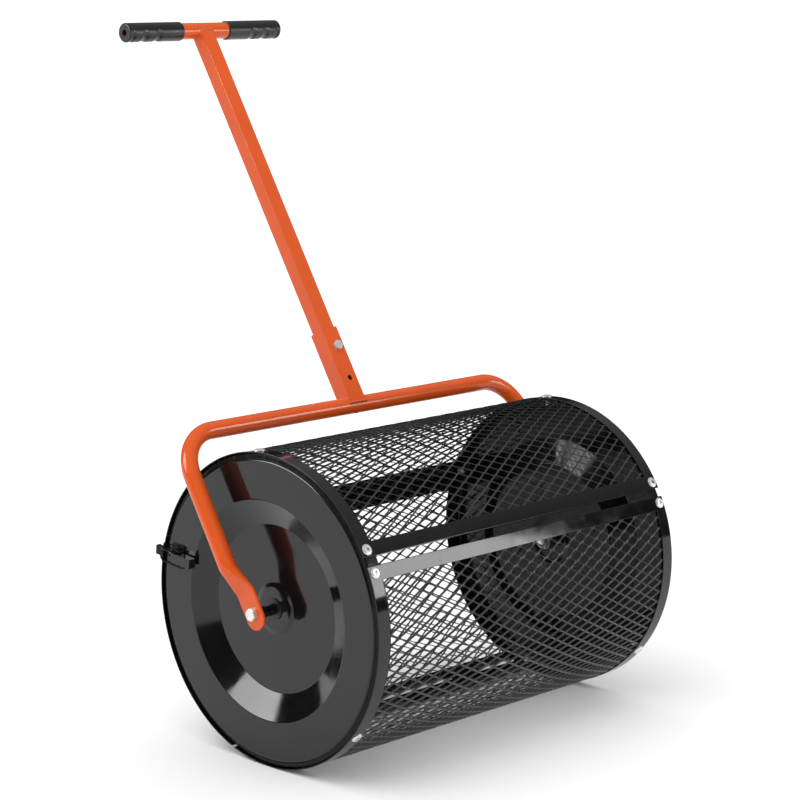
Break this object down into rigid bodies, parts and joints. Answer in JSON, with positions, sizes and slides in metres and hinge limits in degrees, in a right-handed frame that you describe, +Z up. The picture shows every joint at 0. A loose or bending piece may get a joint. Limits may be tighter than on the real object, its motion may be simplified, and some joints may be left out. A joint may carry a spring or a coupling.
{
  "type": "rolling compost spreader",
  "caption": "Expanded-metal drum between dished steel end caps, filled through a latched door, rolled along the ground by a bent tube frame and a T-handle",
  "frame": {"origin": "on the ground, straight under the middle of the axle", "axes": "+Z up, +X along the axle, +Y towards the person who holds the handle"},
  "size_m": [0.705, 0.7026, 1.0044],
  "materials": {
    "orange_powder_coat": "gloss",
    "black_powder_coat": "gloss",
    "zinc_steel": "satin",
    "black_rubber": "matte",
    "black_nylon": "matte"
  },
  "bodies": {
    "handle_frame": {"axle_bolt_left": "zinc_steel", "axle_bolt_right": "zinc_steel", "axle_nut_left": "zinc_steel", "axle_nut_right": "zinc_steel", "axle_sleeve_left": "black_powder_coat", "axle_sleeve_right": "black_powder_coat", "axle_washer_left": "zinc_steel", "axle_washer_right": "zinc_steel", "grip_left": "black_rubber", "grip_right": "black_rubber", "pole": "orange_powder_coat", "pole_bolt": "zinc_steel", "pole_nut": "zinc_steel", "pole_socket": "orange_powder_coat", "t_bar": "orange_powder_coat", "u_frame": "orange_powder_coat"},
    "drum": {"end_cap_left": "black_powder_coat", "end_cap_right": "black_powder_coat", "hinge_leaf_drum_left": "black_powder_coat", "hinge_leaf_drum_right": "black_powder_coat", "hinge_pins": "zinc_steel", "hinge_rivets_drum": "black_powder_coat", "hub_bush_left": "black_nylon", "hub_bush_right": "black_nylon", "latch_base_left": "black_powder_coat", "latch_base_right": "black_powder_coat", "latch_pins": "black_powder_coat", "latch_rivets": "black_powder_coat", "lower_panel_frame": "black_powder_coat", "lower_panel_mesh": "black_powder_coat", "panel_nuts": "zinc_steel", "panel_screws": "zinc_steel", "upper_panel_frame": "black_powder_coat", "upper_panel_mesh": "black_powder_coat"},
    "door": {"door_frame": "black_powder_coat", "door_mesh": "black_powder_coat", "hinge_leaf_door_left": "black_powder_coat", "hinge_leaf_door_right": "black_powder_coat", "hinge_rivets_door": "black_powder_coat", "latch_keeper_left": "black_powder_coat", "latch_keeper_right": "black_powder_coat"},
    "lever_left": {"latch_lever_left": "black_powder_coat", "hook_pin_left": "black_powder_coat"},
    "hook_left": {"latch_hook_left": "black_powder_coat"},
    "lever_right": {"latch_lever_right": "black_powder_coat", "hook_pin_right": "black_powder_coat"},
    "hook_right": {"latch_hook_right": "black_powder_coat"}
  },
  "joints": [
    {"name": "drum_spin", "type": "hinge", "parent": "handle_frame", "child": "drum", "pos_m": [0, 0, 0.22], "axis": [1, 0, 0], "continuous": true},
    {"name": "door_hinge", "type": "hinge", "parent": "drum", "child": "door", "pos_m": [0, 0.07065, 0.01482], "axis": [-1, 0, 0], "range_deg": [0, 95]},
    {"name": "lever_left_swing", "type": "hinge", "parent": "drum", "child": "lever_left", "pos_m": [-0.315, 0.1843, 0.26762], "axis": [0, 0.0872, -0.9962], "range_deg": [0, 100]},
    {"name": "hook_left_swing", "type": "hinge", "parent": "lever_left", "child": "hook_left", "pos_m": [-0.3125, 0.17135, 0.26649], "axis": [0, 0.0872, -0.9962], "range_deg": [-100, 0]},
    {"name": "lever_right_swing", "type": "hinge", "parent": "drum", "child": "lever_right", "pos_m": [0.315, 0.1843, 0.26762], "axis": [0, -0.0872, 0.9962], "range_deg": [0, 100]},
    {"name": "hook_right_swing", "type": "hinge", "parent": "lever_right", "child": "hook_right", "pos_m": [0.3125, 0.17135, 0.26649], "axis": [0, -0.0872, 0.9962], "range_deg": [-100, 0]}
  ],
  "couplings": [
    {"joint": "hook_left_swing", "follows": "lever_left_swing", "ratio": -1},
    {"joint": "hook_right_swing", "follows": "lever_right_swing", "ratio": -1}
  ]
}
